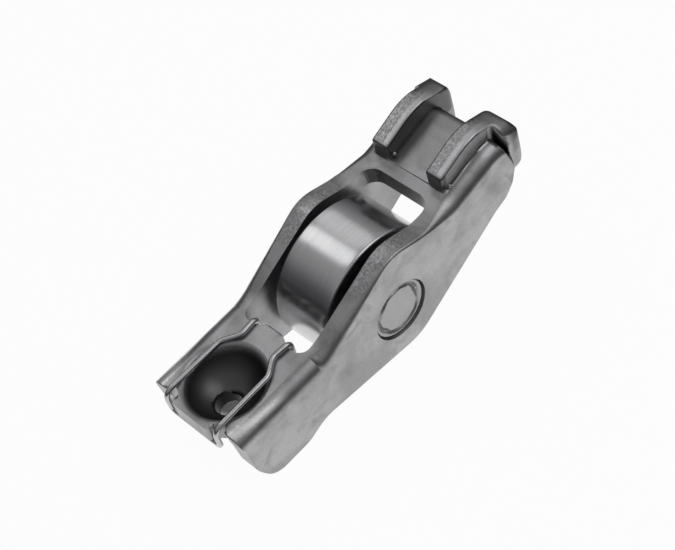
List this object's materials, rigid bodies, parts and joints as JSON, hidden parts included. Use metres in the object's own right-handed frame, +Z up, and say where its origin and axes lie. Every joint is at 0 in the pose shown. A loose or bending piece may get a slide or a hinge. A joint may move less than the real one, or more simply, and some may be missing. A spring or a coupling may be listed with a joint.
{
  "type": "rocker arm",
  "caption": "Stamped steel roller finger follower with pivot socket, wire retaining clip, needle bearing roller and valve pad between folded guide ears",
  "frame": {"origin": "middle of the roller axis, on the centre plane", "axes": "+X to the valve pad, +Y along the roller axis, +Z up with the part lying on its cam side"},
  "size_m": [0.0486, 0.0148, 0.0235],
  "materials": {
    "stamped_steel": "satin, tumbled after hardening",
    "ground_steel": "ground and polished",
    "pin_steel": "turned and staked",
    "spring_wire": "drawn",
    "bearing_steel": "ground"
  },
  "bodies": {
    "arm": {"arm_body": "stamped_steel", "axle": "pin_steel", "retaining_clip": "spring_wire"},
    "cam_roller": {"roller": "ground_steel"},
    "needle_set": {"needle_roller_01": "bearing_steel", "needle_roller_02": "bearing_steel", "needle_roller_03": "bearing_steel", "needle_roller_04": "bearing_steel", "needle_roller_05": "bearing_steel", "needle_roller_06": "bearing_steel", "needle_roller_07": "bearing_steel", "needle_roller_08": "bearing_steel", "needle_roller_09": "bearing_steel", "needle_roller_10": "bearing_steel", "needle_roller_11": "bearing_steel", "needle_roller_12": "bearing_steel", "needle_roller_13": "bearing_steel", "needle_roller_14": "bearing_steel", "needle_roller_15": "bearing_steel", "needle_roller_16": "bearing_steel", "needle_roller_17": "bearing_steel", "needle_roller_18": "bearing_steel"}
  },
  "joints": [
    {"name": "roller_spin", "type": "hinge", "parent": "arm", "child": "cam_roller", "pos_m": [0, 0, 0], "axis": [0, 1, 0], "continuous": true},
    {"name": "needle_orbit", "type": "hinge", "parent": "arm", "child": "needle_set", "pos_m": [0, 0, 0], "axis": [0, 1, 0], "continuous": true}
  ],
  "couplings": [
    {"joint": "needle_orbit", "follows": "roller_spin", "ratio": 0.5876}
  ]
}
